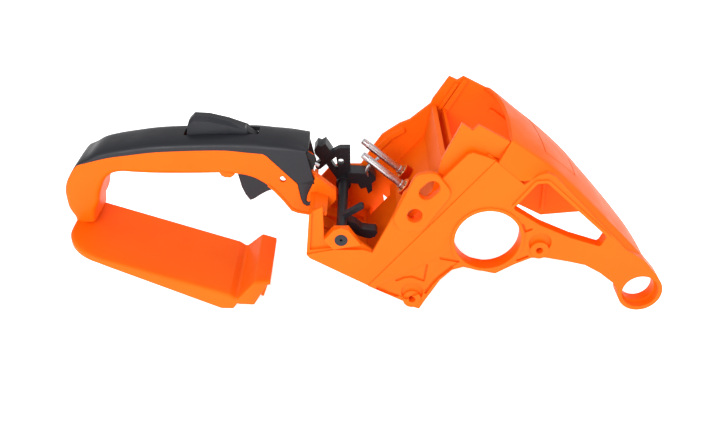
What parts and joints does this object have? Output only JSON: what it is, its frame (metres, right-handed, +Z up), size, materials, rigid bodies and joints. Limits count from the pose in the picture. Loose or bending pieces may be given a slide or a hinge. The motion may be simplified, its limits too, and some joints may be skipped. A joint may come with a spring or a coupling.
{
  "type": "chainsaw rear handle housing",
  "caption": "Rear handle and carburettor housing of a small chainsaw: grip with trigger, interlock lever and hand guard, open carburettor box, filter chamber and shroud.",
  "frame": {"origin": "centre of the bounding box at the height of the surface the housing stands on", "axes": "+X runs from the grip towards the front mounting ring, +Z up, and +Y from the bracket side to the far side wall"},
  "size_m": [0.414, 0.104, 0.1389],
  "materials": {
    "orange_plastic": "semi-gloss moulded nylon",
    "black_plastic": "satin moulded nylon",
    "black_rubber": "matte moulded rubber",
    "bright_steel": "bright plated",
    "brass_insert": "turned"
  },
  "bodies": {
    "housing": {"grip_frame": "orange_plastic", "hand_guard": "orange_plastic", "carburettor_box": "orange_plastic", "bulkhead": "orange_plastic", "far_side_wall": "orange_plastic", "filter_seat": "orange_plastic", "shroud": "orange_plastic", "side_bracket": "orange_plastic", "adjuster_plate": "orange_plastic", "handle_moulding": "black_plastic", "interlock_pin": "bright_steel", "interlock_spring": "bright_steel", "trigger_pin": "bright_steel", "trigger_spring": "bright_steel", "rod_boot": "black_rubber", "contact_spring": "bright_steel", "stud_near": "bright_steel", "stud_far": "bright_steel", "stud_insert_near": "brass_insert", "stud_insert_far": "brass_insert"},
    "trigger": {"throttle_trigger": "black_plastic"},
    "rod": {"throttle_rod": "bright_steel"},
    "interlock": {"interlock_lever": "black_plastic"},
    "shaft": {"switch_shaft": "black_plastic"}
  },
  "joints": [
    {"name": "trigger_pull", "type": "hinge", "parent": "housing", "child": "trigger", "pos_m": [-0.066, 0, 0.097], "axis": [0, 1, 0], "range_deg": [0, 18], "stiffness_Nm_per_rad": 0.12, "springref_deg": -28.65, "deforming": ["trigger_spring"]},
    {"name": "rod_slide", "type": "slide", "parent": "housing", "child": "rod", "axis": [0.8878, 0, -0.4602], "range_m": [0, 0.0036]},
    {"name": "interlock_press", "type": "hinge", "parent": "housing", "child": "interlock", "pos_m": [-0.074, 0, 0.1092], "axis": [0, -1, 0], "range_deg": [0, 6], "stiffness_Nm_per_rad": 0.05, "springref_deg": -22.92, "deforming": ["interlock_spring"]},
    {"name": "shaft_turn", "type": "hinge", "parent": "housing", "child": "shaft", "pos_m": [-0.015, 0, 0.057], "axis": [0, 1, 0], "range_deg": [0, 30]}
  ],
  "couplings": [
    {"joint": "rod_slide", "follows": "trigger_pull", "m_per_rad": 0.011}
  ]
}
